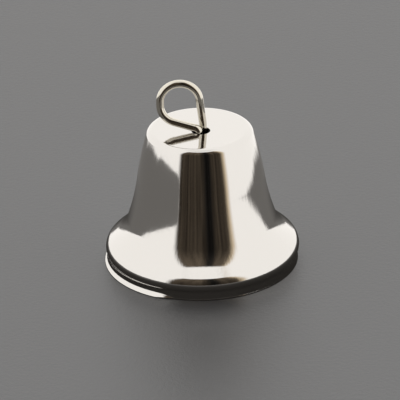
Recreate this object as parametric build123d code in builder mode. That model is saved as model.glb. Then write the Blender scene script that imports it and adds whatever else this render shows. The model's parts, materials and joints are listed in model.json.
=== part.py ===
from build123d import *
import os
from math import acos, degrees, radians, sin

os.makedirs("parts", exist_ok=True)

# Small craft bell: a pressed shell, a wire loop through its crown and a ball clapper on a wire.
# Origin on the bell's axis in the plane of the rim, +Z up, millimetres.

# Shell: the rim is 20 mm across, and the wall is one pressed sheet
bell_height = 14.8
sheet = 0.36
crown_radius = 4.78
shoulder_radius = 0.75

# Wall slopes, in degrees from vertical, and the arc radii that join them
shoulder_slope = 16.4
neck_slope = 8.3
waist_slope = 19.0
flare_slope = 48.6
neck_arc = 36.0
waist_arc = 24.8
flare_arc = 3.86
flare_run = 1.13

# Edge below the flare: a rounded fold, a slightly smaller skirt and an outward lip
fold_arc = 1.12
fold_undercut = 25.5
undercut_arc = 0.9
lip_slope = 50.0
lip_arc = 0.55
lip_round = 0.1
rim_band = 0.06
rim_edge_round = 0.04

# Crown hole, punched a little off the bell's axis
hole_x = 0.1
hole_y = -0.5
hole_radius = 0.95
hole_edge_round = 0.08

# Hanger: one wire that makes the outer loop, two legs in the hole and a stirrup inside
hanger_wire_radius = 0.4
leg_offset_x = 0.22
leg_offset_y = 0.39
leg_drop = 0.7
stirrup_half_width = 1.3
bar_z = 11.0
stirrup_neck_z = 13.1
rise_height = 1.25
wire_gap = 0.15
loop_y = -0.5
loop_left_x = -3.99
loop_right_x = -0.16
loop_top_z = 20.1
loop_low_z = 16.23
left_foot_z = 15.15
right_foot_z = 15.5

# Clapper: a wire with an eye round the stirrup's bar, and a drilled ball pressed on its lower end
clapper_wire_radius = 0.35
eye_clearance = 0.08
eye_neck_arc = 0.6
eye_turn = 290.0
ball_radius = 2.2
ball_z = 3.3
wire_end_recess = 0.25


# Shell
eye_arc = hanger_wire_radius + eye_clearance + clapper_wire_radius
lip_top_z = rim_band + (lip_arc + lip_round) * sin(radians(lip_slope))

with BuildPart() as bell_shell:
    with BuildSketch(Plane.XZ):
        with BuildLine():
            top = Line((0, bell_height), (crown_radius, bell_height))
            shoulder = JernArc(top @ 1, top % 1, shoulder_radius, shoulder_slope - 90)
            neck = JernArc(shoulder @ 1, shoulder % 1, neck_arc, neck_slope - shoulder_slope)
            waist = JernArc(neck @ 1, neck % 1, waist_arc, waist_slope - neck_slope)
            flare = JernArc(waist @ 1, waist % 1, flare_arc, flare_slope - waist_slope)
            cone = Line(flare @ 1, flare @ 1 + flare_run * (flare % 1))
            fold = JernArc(cone @ 1, cone % 1, fold_arc, -flare_slope - fold_undercut)
            undercut = JernArc(fold @ 1, fold % 1, undercut_arc, fold_undercut)
            skirt = Line(undercut @ 1, ((undercut @ 1).X, lip_top_z))
            lip = JernArc(skirt @ 1, skirt % 1, lip_arc, lip_slope)
            bead = JernArc(lip @ 1, lip % 1, lip_round, -lip_slope)
            rim_outer = Line(bead @ 1, ((bead @ 1).X, 0))

            under_top = Line((0, bell_height - sheet), (crown_radius, bell_height - sheet))
            under_shoulder = JernArc(
                under_top @ 1, under_top % 1, shoulder_radius - sheet, shoulder_slope - 90
            )
            under_neck = JernArc(
                under_shoulder @ 1, under_shoulder % 1, neck_arc - sheet, neck_slope - shoulder_slope
            )
            under_waist = JernArc(
                under_neck @ 1, under_neck % 1, waist_arc + sheet, waist_slope - neck_slope
            )
            under_flare = JernArc(
                under_waist @ 1, under_waist % 1, flare_arc + sheet, flare_slope - waist_slope
            )
            under_cone = Line(under_flare @ 1, under_flare @ 1 + flare_run * (under_flare % 1))
            under_fold = JernArc(
                under_cone @ 1, under_cone % 1, fold_arc - sheet, -flare_slope - fold_undercut
            )
            under_skirt = JernArc(
                under_fold @ 1, under_fold % 1, undercut_arc + sheet, fold_undercut
            )
            rim_inner = Line(under_skirt @ 1, ((under_skirt @ 1).X, 0))
            Line(rim_outer @ 1, rim_inner @ 1)
            Line(top @ 0, under_top @ 0)
        make_face()
    revolve(axis=Axis.Z)
    with Locations((hole_x, hole_y, bell_height)):
        Hole(hole_radius, depth=2 * sheet)
    hole_wall = bell_shell.faces().filter_by(GeomType.CYLINDER).sort_by(SortBy.AREA)[0]
    fillet(hole_wall.edges().filter_by(GeomType.CIRCLE), hole_edge_round)
    fillet(bell_shell.edges().group_by(Axis.Z)[0], rim_edge_round)
bell_shell.part.label = "bell_shell"
export_step(bell_shell.part, "parts/bell_shell.step")


# Hanger wire, as one path: a short rise, the bar, up through the hole, round the loop and back down
left_leg = (hole_x - leg_offset_x, hole_y - leg_offset_y)
right_leg = (hole_x + leg_offset_x, hole_y + leg_offset_y)
leg_low_z = bell_height - leg_drop
front_rise = hole_y - stirrup_half_width
back_rise = hole_y + stirrup_half_width
wire_path = [
    ((hole_x, back_rise, bar_z + rise_height), None),
    ((hole_x, back_rise, bar_z), 0.6),
    ((hole_x, front_rise, bar_z), 0.6),
    ((hole_x, front_rise, stirrup_neck_z), 0.8),
    ((*left_leg, leg_low_z), 0.8),
    ((*left_leg, left_foot_z), 0.5),
    ((loop_left_x, loop_y, loop_low_z), 1.9),
    ((loop_left_x, loop_y, loop_top_z), 2.0),
    ((loop_right_x, loop_y, loop_top_z), 2.0),
    ((*right_leg, right_foot_z), 2.0),
    ((*right_leg, leg_low_z), 0.8),
    ((hole_x, back_rise, stirrup_neck_z), 0.8),
    ((hole_x, back_rise, bar_z + rise_height + wire_gap), None),
]
with BuildPart() as hanger_wire:
    with BuildLine() as hanger_line:
        FilletPolyline(*[point for point, _ in wire_path], radius=[bend for _, bend in wire_path[1:-1]])
    with BuildSketch(Plane(hanger_line.line @ 0, z_dir=hanger_line.line % 0)):
        Circle(hanger_wire_radius)
    sweep()
hanger_wire.part.label = "hanger_wire"
export_step(hanger_wire.part, "parts/hanger_wire.step")

# Clapper wire: a straight shank that bends aside and wraps round the stirrup's bar as an eye
swing_plane = Plane((hole_x, hole_y, bar_z), x_dir=(1, 0, 0), z_dir=(0, -1, 0))
neck_turn = degrees(acos(eye_neck_arc / (eye_neck_arc + eye_arc)))
neck_drop = (eye_neck_arc + eye_arc) * sin(radians(neck_turn))
wire_end = ball_z - ball_radius + wire_end_recess - bar_z
with BuildPart() as clapper_wire:
    with BuildLine(swing_plane) as clapper_line:
        shank = Line((0, wire_end), (0, -neck_drop))
        eye_neck = JernArc(shank @ 1, shank % 1, eye_neck_arc, -neck_turn)
        JernArc(eye_neck @ 1, eye_neck % 1, eye_arc, eye_turn)
    with BuildSketch(Plane(clapper_line.line @ 0, z_dir=clapper_line.line % 0)):
        Circle(clapper_wire_radius)
    sweep()
clapper_wire.part.label = "clapper_wire"
export_step(clapper_wire.part, "parts/clapper_wire.step")

# Clapper ball, drilled through for its wire
with BuildPart() as clapper_ball:
    with Locations((hole_x, hole_y, ball_z)):
        Sphere(ball_radius)
        Hole(clapper_wire_radius)
clapper_ball.part.label = "clapper_ball"
export_step(clapper_ball.part, "parts/clapper_ball.step")
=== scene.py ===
import json
from math import acos, asin, ceil, cos, degrees, pi, radians, sin, tan

import bpy
from mathutils import Matrix, Vector


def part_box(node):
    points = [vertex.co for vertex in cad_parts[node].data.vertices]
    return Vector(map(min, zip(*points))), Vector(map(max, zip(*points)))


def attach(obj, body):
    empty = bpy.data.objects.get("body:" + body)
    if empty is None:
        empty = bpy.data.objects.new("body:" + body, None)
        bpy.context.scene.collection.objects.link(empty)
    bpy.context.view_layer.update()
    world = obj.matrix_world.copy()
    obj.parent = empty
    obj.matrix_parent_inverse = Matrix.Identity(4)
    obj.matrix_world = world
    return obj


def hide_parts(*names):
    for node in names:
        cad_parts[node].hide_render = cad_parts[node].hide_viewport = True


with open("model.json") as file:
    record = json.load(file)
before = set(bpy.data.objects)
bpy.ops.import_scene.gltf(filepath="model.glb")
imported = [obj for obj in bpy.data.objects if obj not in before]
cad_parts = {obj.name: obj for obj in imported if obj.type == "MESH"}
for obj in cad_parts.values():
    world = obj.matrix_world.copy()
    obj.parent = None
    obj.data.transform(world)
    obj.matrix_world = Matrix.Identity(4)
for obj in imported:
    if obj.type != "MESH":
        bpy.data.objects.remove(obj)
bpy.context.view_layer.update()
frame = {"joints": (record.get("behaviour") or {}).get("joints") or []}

# A small nickel-plated bell with a wire loop and a ball clapper, on a grey card in a white light tent.
# Lengths are in metres, and MM turns a workshop size into metres.
MM = 0.001


# --- Sizes read from the frame -------------------------------------------------------------------

def joint_point(name):
    """The rest position of one joint of the record."""
    joint = next(j for j in frame["joints"] if j["name"] == name)
    return Vector(joint["pos_m"])


hanger_low, hanger_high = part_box("hanger_wire")
eye_low, eye_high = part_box("clapper_wire")
ball_low, ball_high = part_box("clapper_ball")

hole_centre = joint_point("hanger_swivel")
bar_centre = joint_point("clapper_swing")
bell_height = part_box("bell_shell")[1].z
hanger_radius = bar_centre.z - hanger_low.z
clapper_radius = (eye_high.y - eye_low.y) / 2
ball_radius = (ball_high.x - ball_low.x) / 2
ball_centre = (ball_low + ball_high) / 2


# --- Meshes: skins over rings of points, with exact normals ---------------------------------------

def skin(name, rings, closed):
    """A smooth mesh over rings. A ring is a list of (point, normal), and all have the same length.
    A closed skin joins its last ring to its first. An open one is closed by a fan at each end."""
    count = len(rings[0])
    points = [point for ring in rings for point, _ in ring]
    normals = [normal for ring in rings for _, normal in ring]
    faces = []
    for i in range(len(rings) - (0 if closed else 1)):
        here = i * count
        there = (i + 1) % len(rings) * count
        for k in range(count):
            turn = (k + 1) % count
            faces.append((here + k, there + k, there + turn, here + turn))
    if not closed:
        for ring, start in ((rings[0], 0), (rings[-1], (len(rings) - 1) * count)):
            points.append(sum((point for point, _ in ring), Vector()) / count)
            normals.append(sum((normal for _, normal in ring), Vector()))
            for k in range(count):
                pair = (start + k, start + (k + 1) % count)
                faces.append((*(reversed(pair) if start else pair), len(points) - 1))
    mesh = bpy.data.meshes.new(name)
    mesh.from_pydata(points, [], faces)
    mesh.shade_smooth()
    mesh.normals_split_custom_set_from_vertices([n.normalized() for n in normals])
    piece = bpy.data.objects.new(name, mesh)
    bpy.context.scene.collection.objects.link(piece)
    return piece


class Outline:
    """A line walked in its own plane, in straight runs and tangent arcs. Its stops are
    (x, y, heading), with headings in radians counter-clockwise from the plane's first axis."""

    def __init__(self, x, y, heading, longest, arc_step=4.0):
        self.x = x
        self.y = y
        self.heading = radians(heading)
        self.longest = longest
        self.arc_step = radians(arc_step)
        self.stops = [(x, y, self.heading)]

    def arc(self, radius, turn):
        """Turns by that many degrees, counter-clockwise when positive."""
        turn = radians(turn)
        steps = max(2, ceil(abs(turn) / self.arc_step), ceil(abs(turn) * radius / self.longest))
        signed = radius if turn > 0 else -radius
        for _ in range(steps):
            before = self.heading
            self.heading += turn / steps
            self.x += signed * (sin(self.heading) - sin(before))
            self.y -= signed * (cos(self.heading) - cos(before))
            self.stops.append((self.x, self.y, self.heading))

    def run(self, length):
        steps = max(1, ceil(length / self.longest))
        for _ in range(steps):
            self.x += cos(self.heading) * length / steps
            self.y += sin(self.heading) * length / steps
            self.stops.append((self.x, self.y, self.heading))


def turned_ring(centre, radius, z, heading, side, sides):
    """A level ring of a turned piece, where its outline passes with that heading.
    side is 1 where the metal is on the right of the outline, and -1 where it is on the left."""
    ring = []
    for k in range(sides):
        angle = 2 * pi * k / sides
        out = Vector((cos(angle), sin(angle), 0))
        point = Vector((centre[0], centre[1], z)) + out * radius
        normal = side * (Vector((0, 0, cos(heading))) - out * sin(heading))
        ring.append((point, normal))
    return ring


# --- Bell shell -----------------------------------------------------------------------------------

SHEET = 0.36 * MM
CROWN_RADIUS = 4.78 * MM
SHOULDER_RADIUS = 0.75 * MM
# Slopes in degrees from vertical, and the arcs that lead from each slope to the next
SHOULDER_SLOPE = 16.4
NECK_SLOPE = 8.3
WAIST_SLOPE = 19.0
FLARE_SLOPE = 48.6
NECK_ARC = 36.0 * MM
WAIST_ARC = 24.8 * MM
FLARE_ARC = 3.86 * MM
FLARE_RUN = 1.13 * MM
# Below the flare: the fold, the skirt under it, and the lip that turns out to the rim
FOLD_ARC = 1.12 * MM
FOLD_UNDERCUT = 25.5
UNDERCUT_ARC = 0.9 * MM
LIP_SLOPE = 50.0
LIP_ARC = 0.55 * MM
LIP_ROUND = 0.1 * MM
RIM_BAND = 0.06 * MM
RIM_EDGE = 0.04 * MM
HOLE_RADIUS = 0.95 * MM
HOLE_EDGE = 0.08 * MM
SHELL_STEP = 0.22 * MM
SHELL_SIDES = 288
CROWN_RINGS = 14
# The lip is pressed unevenly: its size by azimuth, in degrees to the right of the front
LIP_SHARES = [(-180, 0.7), (-110, 1.5), (-32, 1.5), (-17, 0.2), (95, 0.3), (180, 0.7)]


def lip_share(angle):
    """How large the lip is at that angle round the axis, eased between the listed azimuths."""
    azimuth = (degrees(angle) + 90 + 180) % 360 - 180
    for (start, low), (end, high) in zip(LIP_SHARES, LIP_SHARES[1:]):
        if azimuth <= end:
            part = (azimuth - start) / (end - start)
            return low + (high - low) * part * part * (3 - 2 * part)
    return LIP_SHARES[-1][1]


def lip_ring(radius, z, heading, skirt_radius):
    """A ring of the lip's outer face, which stands out from the skirt by its share."""
    ring = []
    for k in range(SHELL_SIDES):
        angle = 2 * pi * k / SHELL_SIDES
        share = lip_share(angle)
        growth = (lip_share(angle + 0.01) - lip_share(angle - 0.01)) / 0.02
        out = Vector((cos(angle), sin(angle), 0))
        along = Vector((-sin(angle), cos(angle), 0))
        here = skirt_radius + (radius - skirt_radius) * share
        lean = (radius - skirt_radius) * growth / here
        normal = Vector((0, 0, share * cos(heading))) - out * sin(heading) + along * lean * sin(heading)
        ring.append((out * here + Vector((0, 0, z)), normal))
    return ring


def wall(thickness):
    """The wall from the crown's edge to the skirt: its outer face, or the inner one when given
    the sheet's thickness."""
    face = Outline(CROWN_RADIUS, bell_height - thickness, 0, SHELL_STEP)
    face.arc(SHOULDER_RADIUS - thickness, SHOULDER_SLOPE - 90)
    face.arc(NECK_ARC - thickness, NECK_SLOPE - SHOULDER_SLOPE)
    face.arc(WAIST_ARC + thickness, WAIST_SLOPE - NECK_SLOPE)
    face.arc(FLARE_ARC + thickness, FLARE_SLOPE - WAIST_SLOPE)
    face.run(FLARE_RUN)
    face.arc(FOLD_ARC - thickness, -FLARE_SLOPE - FOLD_UNDERCUT)
    face.arc(UNDERCUT_ARC + thickness, FOLD_UNDERCUT)
    return face


def crown_rings(z, hole_side_radius, side):
    """Flat rings between the hole, which is off the bell's axis, and the crown's edge."""
    rings = []
    for i in range(CROWN_RINGS):
        part = i / CROWN_RINGS
        centre = hole_centre.lerp(Vector((0, 0, hole_centre.z)), part)
        radius = hole_side_radius + (CROWN_RADIUS - hole_side_radius) * part
        rings.append(turned_ring(centre, radius, z, 0, side, SHELL_SIDES))
    return rings


def bell_shell():
    """The pressed sheet, as one closed skin: over the crown, down the outside, across the rim,
    up the inside and through the hole."""
    outside = wall(0)
    outside.run(outside.y - RIM_BAND - (LIP_ARC + LIP_ROUND) * sin(radians(LIP_SLOPE)))
    skirt_radius = outside.x
    lip_start = len(outside.stops)
    outside.arc(LIP_ARC, LIP_SLOPE)
    outside.arc(LIP_ROUND, -LIP_SLOPE)
    outside.run(outside.y - RIM_EDGE)
    outside.arc(RIM_EDGE, -90)

    inside = wall(SHEET)
    inside.run(inside.y - RIM_EDGE)
    inside.arc(RIM_EDGE, 90)

    hole = Outline(HOLE_RADIUS + HOLE_EDGE, bell_height - SHEET, 180, SHELL_STEP, 15)
    hole.arc(HOLE_EDGE, -90)
    hole.run(SHEET - 2 * HOLE_EDGE)
    hole.arc(HOLE_EDGE, -90)

    top = crown_rings(bell_height, HOLE_RADIUS + HOLE_EDGE, 1)
    under = crown_rings(bell_height - SHEET, HOLE_RADIUS + HOLE_EDGE, -1)
    down = [turned_ring((0, 0), *stop, 1, SHELL_SIDES) for stop in outside.stops[:lip_start]]
    lip = [lip_ring(*stop, skirt_radius) for stop in outside.stops[lip_start:]]
    up = [turned_ring((0, 0), *stop, -1, SHELL_SIDES) for stop in inside.stops]
    through = [turned_ring(hole_centre, *stop, 1, SHELL_SIDES) for stop in hole.stops[1:-1]]
    rings = top + down + lip + up[::-1] + under[::-1] + through
    return skin("bell_shell_skin", rings, closed=True)


# --- Wires and ball -------------------------------------------------------------------------------

WIRE_SIDES = 40
WIRE_END_ROUND = 0.07 * MM
BEND_STEP = 6.0
# Hanger: bends of the stirrup inside the bell, the two legs in the hole and the outer loop
STIRRUP_BEND = 0.6 * MM
LEG_BEND = 0.8 * MM
LOOP_FOOT_BEND = 0.5 * MM
LOOP_LOW_BEND = 1.9 * MM
LOOP_TOP_BEND = 2.0 * MM
LEG_OFFSET = Vector((0.22, 0.39, 0)) * MM
# Heights of its corners over the crown, and the loop's right corner beside the hole
STIRRUP_NECK = -1.7 * MM
LEG_LOW = -0.7 * MM
LEFT_FOOT = 0.35 * MM
RIGHT_FOOT = 0.7 * MM
LOOP_LOW = 1.43 * MM
LOOP_RIGHT = -0.26 * MM
RISE = 1.25 * MM
WIRE_GAP = 0.15 * MM
# Clapper: the eye at the top of its wire, round the stirrup's bar
EYE_CLEARANCE = 0.08 * MM
EYE_NECK_BEND = 0.6 * MM
EYE_TURN = 290.0
BALL_SIDES = 96
BALL_EDGE = 0.06 * MM


def bent_line(corners):
    """Straight runs joined by tangent arcs, as (point, direction). A corner is (point, bend)."""
    line = []
    points = [Vector(point) for point, _ in corners]
    for i, (_, bend) in enumerate(corners):
        if i in (0, len(corners) - 1):
            a, b = (points[0], points[1]) if i == 0 else (points[-2], points[-1])
            line.append((points[i], (b - a).normalized()))
            continue
        before = (points[i] - points[i - 1]).normalized()
        after = (points[i + 1] - points[i]).normalized()
        turn = before.angle(after)
        inward = (after - before * before.dot(after)).normalized()
        start = points[i] - before * bend * tan(turn / 2)
        steps = max(2, ceil(degrees(turn) / BEND_STEP))
        for k in range(steps + 1):
            swung = turn * k / steps
            point = start + inward * bend * (1 - cos(swung)) + before * bend * sin(swung)
            line.append((point, before * cos(swung) + inward * sin(swung)))
    return line


def wire(name, line, radius):
    """A round wire along a line of (point, direction), with its cut ends slightly rounded."""
    steps = 4
    ends = [(sin(pi / 2 * k / steps), cos(pi / 2 * k / steps)) for k in range(steps + 1)]
    stations = [(*line[0], -lift, shrink) for lift, shrink in reversed(ends[1:])]
    stations += [(point, direction, 0, 1) for point, direction in line]
    stations += [(*line[-1], lift, shrink) for lift, shrink in ends[1:]]
    rings = []
    across = line[0][1].orthogonal().normalized()
    last = line[0][1]
    for point, direction, lift, shrink in stations:
        across = last.rotation_difference(direction) @ across
        last = direction
        up = across.cross(direction)
        inset = WIRE_END_ROUND * (1 - shrink)
        centre = point + direction * WIRE_END_ROUND * (lift - (lift > 0) + (lift < 0))
        ring = []
        for k in range(WIRE_SIDES):
            out = across * cos(2 * pi * k / WIRE_SIDES) + up * sin(2 * pi * k / WIRE_SIDES)
            ring.append((centre + out * (radius - inset), out * shrink + direction * lift))
        rings.append(ring)
    return skin(name, rings, closed=False)


def hanger_line():
    """The hanger's wire from one cut end to the other: the bar, up through the hole, round the
    loop that leans to one side, and down through the hole again beside the other cut end."""
    x, y, crown = hole_centre
    bar = hanger_low.z + hanger_radius
    top = hanger_high.z - hanger_radius
    left = hanger_low.x + hanger_radius
    front = hanger_low.y + hanger_radius
    back = hanger_high.y - hanger_radius
    front_leg = hole_centre - LEG_OFFSET
    back_leg = hole_centre + LEG_OFFSET
    return bent_line([
        ((x, back, bar + RISE), None),
        ((x, back, bar), STIRRUP_BEND),
        ((x, front, bar), STIRRUP_BEND),
        ((x, front, crown + STIRRUP_NECK), LEG_BEND),
        ((front_leg.x, front_leg.y, crown + LEG_LOW), LEG_BEND),
        ((front_leg.x, front_leg.y, crown + LEFT_FOOT), LOOP_FOOT_BEND),
        ((left, y, crown + LOOP_LOW), LOOP_LOW_BEND),
        ((left, y, top), LOOP_TOP_BEND),
        ((x + LOOP_RIGHT, y, top), LOOP_TOP_BEND),
        ((back_leg.x, back_leg.y, crown + RIGHT_FOOT), LOOP_TOP_BEND),
        ((back_leg.x, back_leg.y, crown + LEG_LOW), LEG_BEND),
        ((x, back, crown + STIRRUP_NECK), LEG_BEND),
        ((x, back, bar + RISE + WIRE_GAP), None),
    ])


def clapper_line():
    """The clapper's wire: up from the ball, aside, and round the bar as an eye."""
    eye_arc = hanger_radius + EYE_CLEARANCE + clapper_radius
    neck_turn = acos(EYE_NECK_BEND / (EYE_NECK_BEND + eye_arc))
    neck_drop = (EYE_NECK_BEND + eye_arc) * sin(neck_turn)
    line = Outline(0, eye_low.z - bar_centre.z, 90, 1.0 * MM, BEND_STEP)
    line.run(bar_centre.z - eye_low.z - neck_drop)
    line.arc(EYE_NECK_BEND, -degrees(neck_turn))
    line.arc(eye_arc, EYE_TURN)
    return [
        (bar_centre + Vector((x, 0, z)), Vector((cos(heading), 0, sin(heading))))
        for x, z, heading in line.stops
    ]


def clapper_ball():
    """A ball drilled through for its wire, with the hole's edges rounded."""
    edge_angle = asin((clapper_radius + BALL_EDGE) / (ball_radius - BALL_EDGE))
    line = Outline(
        ball_radius * sin(edge_angle), ball_radius * cos(edge_angle), -degrees(edge_angle), 0.2 * MM
    )
    line.arc(ball_radius, 2 * degrees(edge_angle) - 180)
    line.arc(BALL_EDGE, -90 - degrees(edge_angle))
    line.run(-2 * line.y)
    line.arc(BALL_EDGE, -90 - degrees(edge_angle))
    rings = [
        turned_ring(ball_centre, radius, ball_centre.z + z, heading, 1, BALL_SIDES)
        for radius, z, heading in line.stops[:-1]
    ]
    return skin("clapper_ball_skin", rings, closed=True)


# --- Shader graphs --------------------------------------------------------------------------------

class Graph:
    """Adds nodes to one shader tree, so that a material reads as a formula."""

    def __init__(self, tree):
        self.tree = tree
        tree.nodes.clear()

    def node(self, kind, inputs=(), **settings):
        """Makes a node, sets it, and feeds its named inputs with values or other nodes' outputs."""
        made = self.tree.nodes.new("ShaderNode" + kind)
        for name, value in settings.items():
            setattr(made, name, value)
        for name, value in dict(inputs).items():
            self.feed(made.inputs[name], value)
        return made

    def feed(self, socket, value):
        if isinstance(value, bpy.types.NodeSocket):
            self.tree.links.new(value, socket)
        else:
            socket.default_value = value

    def math(self, operation, *values):
        made = self.node("Math", operation=operation)
        for socket, value in zip(made.inputs, values):
            self.feed(socket, value)
        return made.outputs[0]

    def ramp(self, value, low, high, start=0.0, end=1.0):
        """Goes smoothly from start to end while value goes from low to high."""
        made = self.node(
            "MapRange",
            {"Value": value, "From Min": low, "From Max": high, "To Min": start, "To Max": end},
            interpolation_type="SMOOTHSTEP",
        )
        return made.outputs["Result"]

    def split(self, vector):
        return self.node("SeparateXYZ", {"Vector": vector}).outputs

    def join(self, x, y, z):
        return self.node("CombineXYZ", {"X": x, "Y": y, "Z": z}).outputs["Vector"]

    def noise(self, vector, scale, detail=3.0, roughness=0.5):
        made = self.node(
            "TexNoise",
            {"Vector": vector, "Scale": scale, "Detail": detail, "Roughness": roughness},
        )
        return made.outputs["Fac"]

    def mix(self, factor, first, second, blend="MIX"):
        made = self.node("Mix", data_type="RGBA", blend_type=blend)
        for index, value in ((0, factor), (6, first), (7, second)):
            self.feed(made.inputs[index], value)
        return made.outputs[2]

    def bands(self, value, stops):
        """A colour for each value, from stops of (value, colour) in rising order."""
        low, high = stops[0][0], stops[-1][0]
        made = self.node("ValToRGB", {"Fac": self.math(
            "DIVIDE", self.math("SUBTRACT", value, low), high - low)})
        elements = made.color_ramp.elements
        for element, (place, colour) in zip(elements, (stops[0], stops[-1])):
            element.color = (*colour, 1)
        for place, colour in stops[1:-1]:
            elements.new((place - low) / (high - low)).color = (*colour, 1)
        return made.outputs["Color"]


# --- Light tent, card and camera ------------------------------------------------------------------

# What the bell sees around it, as linear light
WHITE_CLOTH = (1.35, 1.32, 1.28)
OVERHEAD = (0.8, 0.8, 0.77)
WARM_EDGE = (0.8, 0.65, 0.45)
DIM_ROOM = (0.07, 0.055, 0.04)
DEEP_SHADOW = (0.012, 0.011, 0.01)
BACKDROP = (0.24, 0.24, 0.24)
# The tent's opening, from left to right: cloth, a dim room with a shadow in it, a warm edge, cloth
OPENING = [
    (-44, WHITE_CLOTH), (-38, DIM_ROOM), (0, DIM_ROOM), (8, DEEP_SHADOW), (16, DEEP_SHADOW),
    (22, DIM_ROOM), (40, DIM_ROOM), (46, WARM_EDGE), (52, WHITE_CLOTH),
]
OPENING_TOP = 65
# The grey card, and how it looks in the bell's metal: away from the bell and in its shade
CARD_SHEEN = 0.42
CARD_GREY = (0.185, 0.182, 0.18)
CARD_SHADE = (0.04, 0.038, 0.036)
# The outline of the card in the metal, in millimetres by azimuth: a long way out to the front left,
# and close by elsewhere
CARD_REACH = [
    (-180, 40), (-130, 65), (-90, 160), (-60, 550), (-44, 550), (-38, 42), (75, 42), (115, 56),
    (145, 40), (180, 40),
]


def light_tent():
    """White cloth all round, with a dark opening on the camera's side that reaches far up. The
    camera itself sees a plain backdrop."""
    world = bpy.data.worlds.new("light_tent")
    bpy.context.scene.world = world
    world.use_nodes = True
    g = Graph(world.node_tree)
    x, y, z = g.split(g.node("TexCoord").outputs["Generated"])
    azimuth = g.math("DEGREES", g.math("ARCTAN2", x, g.math("MULTIPLY", y, -1.0)))
    elevation = g.math("DEGREES", g.math("ARCSINE", z))
    folds = g.noise(g.join(azimuth, 0.0, 0.0), 0.45, 2, 0.7)
    streaks = g.noise(g.join(azimuth, g.math("MULTIPLY", elevation, 0.04), 0.0), 0.22, 4, 0.7)
    higher_up = g.ramp(elevation, 10, 60, 0.8, 1.8)
    brightness = g.math("MULTIPLY", g.ramp(streaks, 0.3, 0.7, 0.3, 1.7), higher_up)
    room = g.mix(1.0, g.bands(azimuth, OPENING), g.join(brightness, brightness, brightness), "MULTIPLY")
    inside = g.math("MULTIPLY", g.ramp(azimuth, -41, -38), g.ramp(azimuth, 46, 42))
    opening = g.mix(inside, g.bands(azimuth, OPENING), room)
    ragged = g.math("ADD", elevation, g.math("MULTIPLY", g.math("SUBTRACT", folds, 0.5), 8.0))
    closing = g.ramp(ragged, OPENING_TOP - 2.5, OPENING_TOP + 2.5)
    tent = g.mix(closing, opening, (*WHITE_CLOTH, 1))
    overhead = g.mix(g.ramp(elevation, 70, 82, 0.0, 0.45), tent, (*OVERHEAD, 1))
    seen = g.mix(g.node("LightPath").outputs["Is Camera Ray"], overhead, (*BACKDROP, 1))
    light = g.node("Background", {"Color": seen, "Strength": 1.0})
    output = g.node("OutputWorld")
    g.feed(output.inputs["Surface"], light.outputs[0])


def card_reach(g, azimuth):
    """How far the bell's metal sees the card at that azimuth, in millimetres."""
    furthest = max(far for _, far in CARD_REACH)
    share = g.bands(azimuth, [(at, (far / furthest,) * 3) for at, far in CARD_REACH])
    return g.math("MULTIPLY", share, furthest)


def card():
    """The smooth dark-bodied card that the bell stands on. It is pale by its sheen."""
    size = 3.0
    mesh = bpy.data.meshes.new("card")
    corners = [(-size, -size, 0), (size, -size, 0), (size, size, 0), (-size, size, 0)]
    mesh.from_pydata(corners, [], [(0, 1, 2, 3)])
    floor = bpy.data.objects.new("card", mesh)
    bpy.context.scene.collection.objects.link(floor)
    material = bpy.data.materials.new("satin_card")
    material.use_nodes = True
    g = Graph(material.node_tree)
    place = g.node("TexCoord").outputs["Object"]
    x, y, _ = g.split(place)
    grain = g.noise(place, 2200, 4, 0.7)
    bump = g.node("Bump", {"Height": grain, "Distance": 0.05 * MM, "Strength": 0.8})
    satin = g.node("BsdfPrincipled", {
        "Base Color": (0.035, 0.035, 0.036, 1), "Roughness": CARD_SHEEN, "IOR": 1.85,
        "Specular Tint": (0.94, 0.965, 1.0, 1), "Normal": bump.outputs[0]})
    azimuth = g.math("DEGREES", g.math("ARCTAN2", x, g.math("MULTIPLY", y, -1.0)))
    length = g.math("SQRT", g.math("ADD", g.math("MULTIPLY", x, x), g.math("MULTIPLY", y, y)))
    heading = g.join(g.math("DIVIDE", x, length), g.math("DIVIDE", y, length), 0.0)
    ragged = g.ramp(g.noise(heading, 26, 2, 0.7), 0.2, 0.8, 0.92, 1.08)
    distance = g.math("DIVIDE", g.math("MULTIPLY", length, ragged), MM)
    in_bell_shade = g.ramp(length, 0.030, 0.0105)
    shade = g.mix(in_bell_shade, (*CARD_GREY, 1), (*CARD_SHADE, 1))
    matt = g.node("BsdfDiffuse", {"Color": shade})
    reach = card_reach(g, azimuth)
    beyond = g.ramp(g.math("DIVIDE", distance, reach), 0.85, 1.15)
    light_path = g.node("LightPath").outputs
    unseen = g.math("MULTIPLY", beyond, g.math("SUBTRACT", 1.0, light_path["Is Camera Ray"]))
    # Seen from below, the card lets the view and its light through, so the inside can be seen
    from_below = g.math(
        "MAXIMUM", light_path["Transparent Depth"], g.node("NewGeometry").outputs["Backfacing"])
    open_below = g.math("MINIMUM", 1.0, g.math("MAXIMUM", unseen, from_below))
    sheet = g.node("MixShader", {"Fac": light_path["Is Camera Ray"]})
    g.feed(sheet.inputs[1], matt.outputs[0])
    g.feed(sheet.inputs[2], satin.outputs[0])
    surface = g.node("MixShader", {"Fac": open_below})
    g.feed(surface.inputs[1], sheet.outputs[0])
    g.feed(surface.inputs[2], g.node("BsdfTransparent").outputs[0])
    output = g.node("OutputMaterial")
    g.feed(output.inputs["Surface"], surface.outputs[0])
    mesh.materials.append(material)


CAMERA_ELEVATION = 26.21
CAMERA_DISTANCE = 0.45
CAMERA_ROLL = 1.40
CAMERA_LENS = 392.8
# The bell's axis passes a little right of the picture's middle and above it
AIM_HEIGHT = 7.5 * MM
AIM_RIGHT = -0.137 * MM
AIM_UP = -0.800 * MM


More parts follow.
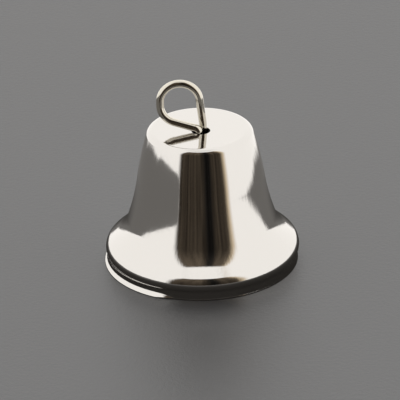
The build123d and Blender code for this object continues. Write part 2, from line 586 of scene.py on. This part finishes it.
def camera():
    """A long lens from the front, above the bell, tilted a little to one side."""
    up_angle = radians(CAMERA_ELEVATION)
    roll = radians(CAMERA_ROLL)
    back = Vector((0, -cos(up_angle), sin(up_angle)))
    level_right = Vector((1, 0, 0))
    level_up = back.cross(level_right)
    right = level_right * cos(roll) - level_up * sin(roll)
    up = level_up * cos(roll) + level_right * sin(roll)
    place = Vector((0, 0, AIM_HEIGHT)) + back * CAMERA_DISTANCE + right * AIM_RIGHT + up * AIM_UP
    data = bpy.data.cameras.new("camera")
    data.lens = CAMERA_LENS
    data.clip_start = 0.01
    made = bpy.data.objects.new("camera", data)
    bpy.context.scene.collection.objects.link(made)
    made.matrix_world = Matrix((
        (right.x, up.x, back.x, place.x),
        (right.y, up.y, back.y, place.y),
        (right.z, up.z, back.z, place.z),
        (0, 0, 0, 1),
    ))
    bpy.context.scene.camera = made


# --- Metals ---------------------------------------------------------------------------------------

def metal(name):
    material = bpy.data.materials.new(name)
    material.use_nodes = True
    return material, Graph(material.node_tree)


def shell_nickel():
    """Bright nickel over pressed steel: fine streaks run up the wall, strongest on the flare."""
    material, g = metal("shell_nickel")
    place = g.node("TexCoord").outputs["Object"]
    x, y, z = g.split(place)
    radius = g.math("SQRT", g.math("ADD", g.math("MULTIPLY", x, x), g.math("MULTIPLY", y, y)))
    round_x = g.math("DIVIDE", x, radius)
    round_y = g.math("DIVIDE", y, radius)
    upward = g.math("MULTIPLY", z, 60.0)
    around = g.join(round_x, round_y, upward)
    fine = g.noise(around, 90, 4, 0.65)
    broad = g.noise(around, 18, 3, 0.6)
    on_flare = g.ramp(z, 0.0058, 0.0034, 0.12, 1.0)
    streaks = g.math("ADD", g.math("MULTIPLY", fine, 0.5), broad)
    height = g.math("MULTIPLY", streaks, on_flare)
    bump = g.node("Bump", {"Height": height, "Distance": 0.02 * MM, "Strength": 0.3})
    rough = g.ramp(g.noise(around, 40, 3, 0.6), 0.3, 0.7, 0.05, 0.09)
    steel = g.node("BsdfPrincipled", {
        "Base Color": (0.62, 0.605, 0.585, 1), "Metallic": 1.0, "Roughness": rough,
        "Normal": bump.outputs[0]})
    output = g.node("OutputMaterial")
    g.feed(output.inputs["Surface"], steel.outputs[0])
    return material


def wire_nickel():
    material, g = metal("wire_nickel")
    place = g.node("TexCoord").outputs["Object"]
    rough = g.ramp(g.noise(place, 1500, 3, 0.6), 0.3, 0.7, 0.08, 0.16)
    steel = g.node("BsdfPrincipled", {
        "Base Color": (0.60, 0.57, 0.50, 1), "Metallic": 1.0, "Roughness": rough})
    output = g.node("OutputMaterial")
    g.feed(output.inputs["Surface"], steel.outputs[0])
    return material


def finish_piece(piece, body, node, material):
    """Puts a piece on its body in place of its CAD node, in that material."""
    piece.data.materials.append(material)
    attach(piece, body)
    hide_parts(node)


camera()
light_tent()
card()
shell_material = shell_nickel()
wire_material = wire_nickel()
finish_piece(bell_shell(), "bell", "bell_shell", shell_material)
finish_piece(
    wire("hanger_wire_round", hanger_line(), hanger_radius),
    "hanger", "hanger_wire", wire_material)
finish_piece(
    wire("clapper_wire_round", clapper_line(), clapper_radius),
    "clapper", "clapper_wire", wire_material)
finish_piece(clapper_ball(), "clapper", "clapper_ball", shell_material)
bpy.context.scene.view_settings.view_transform = "Standard"
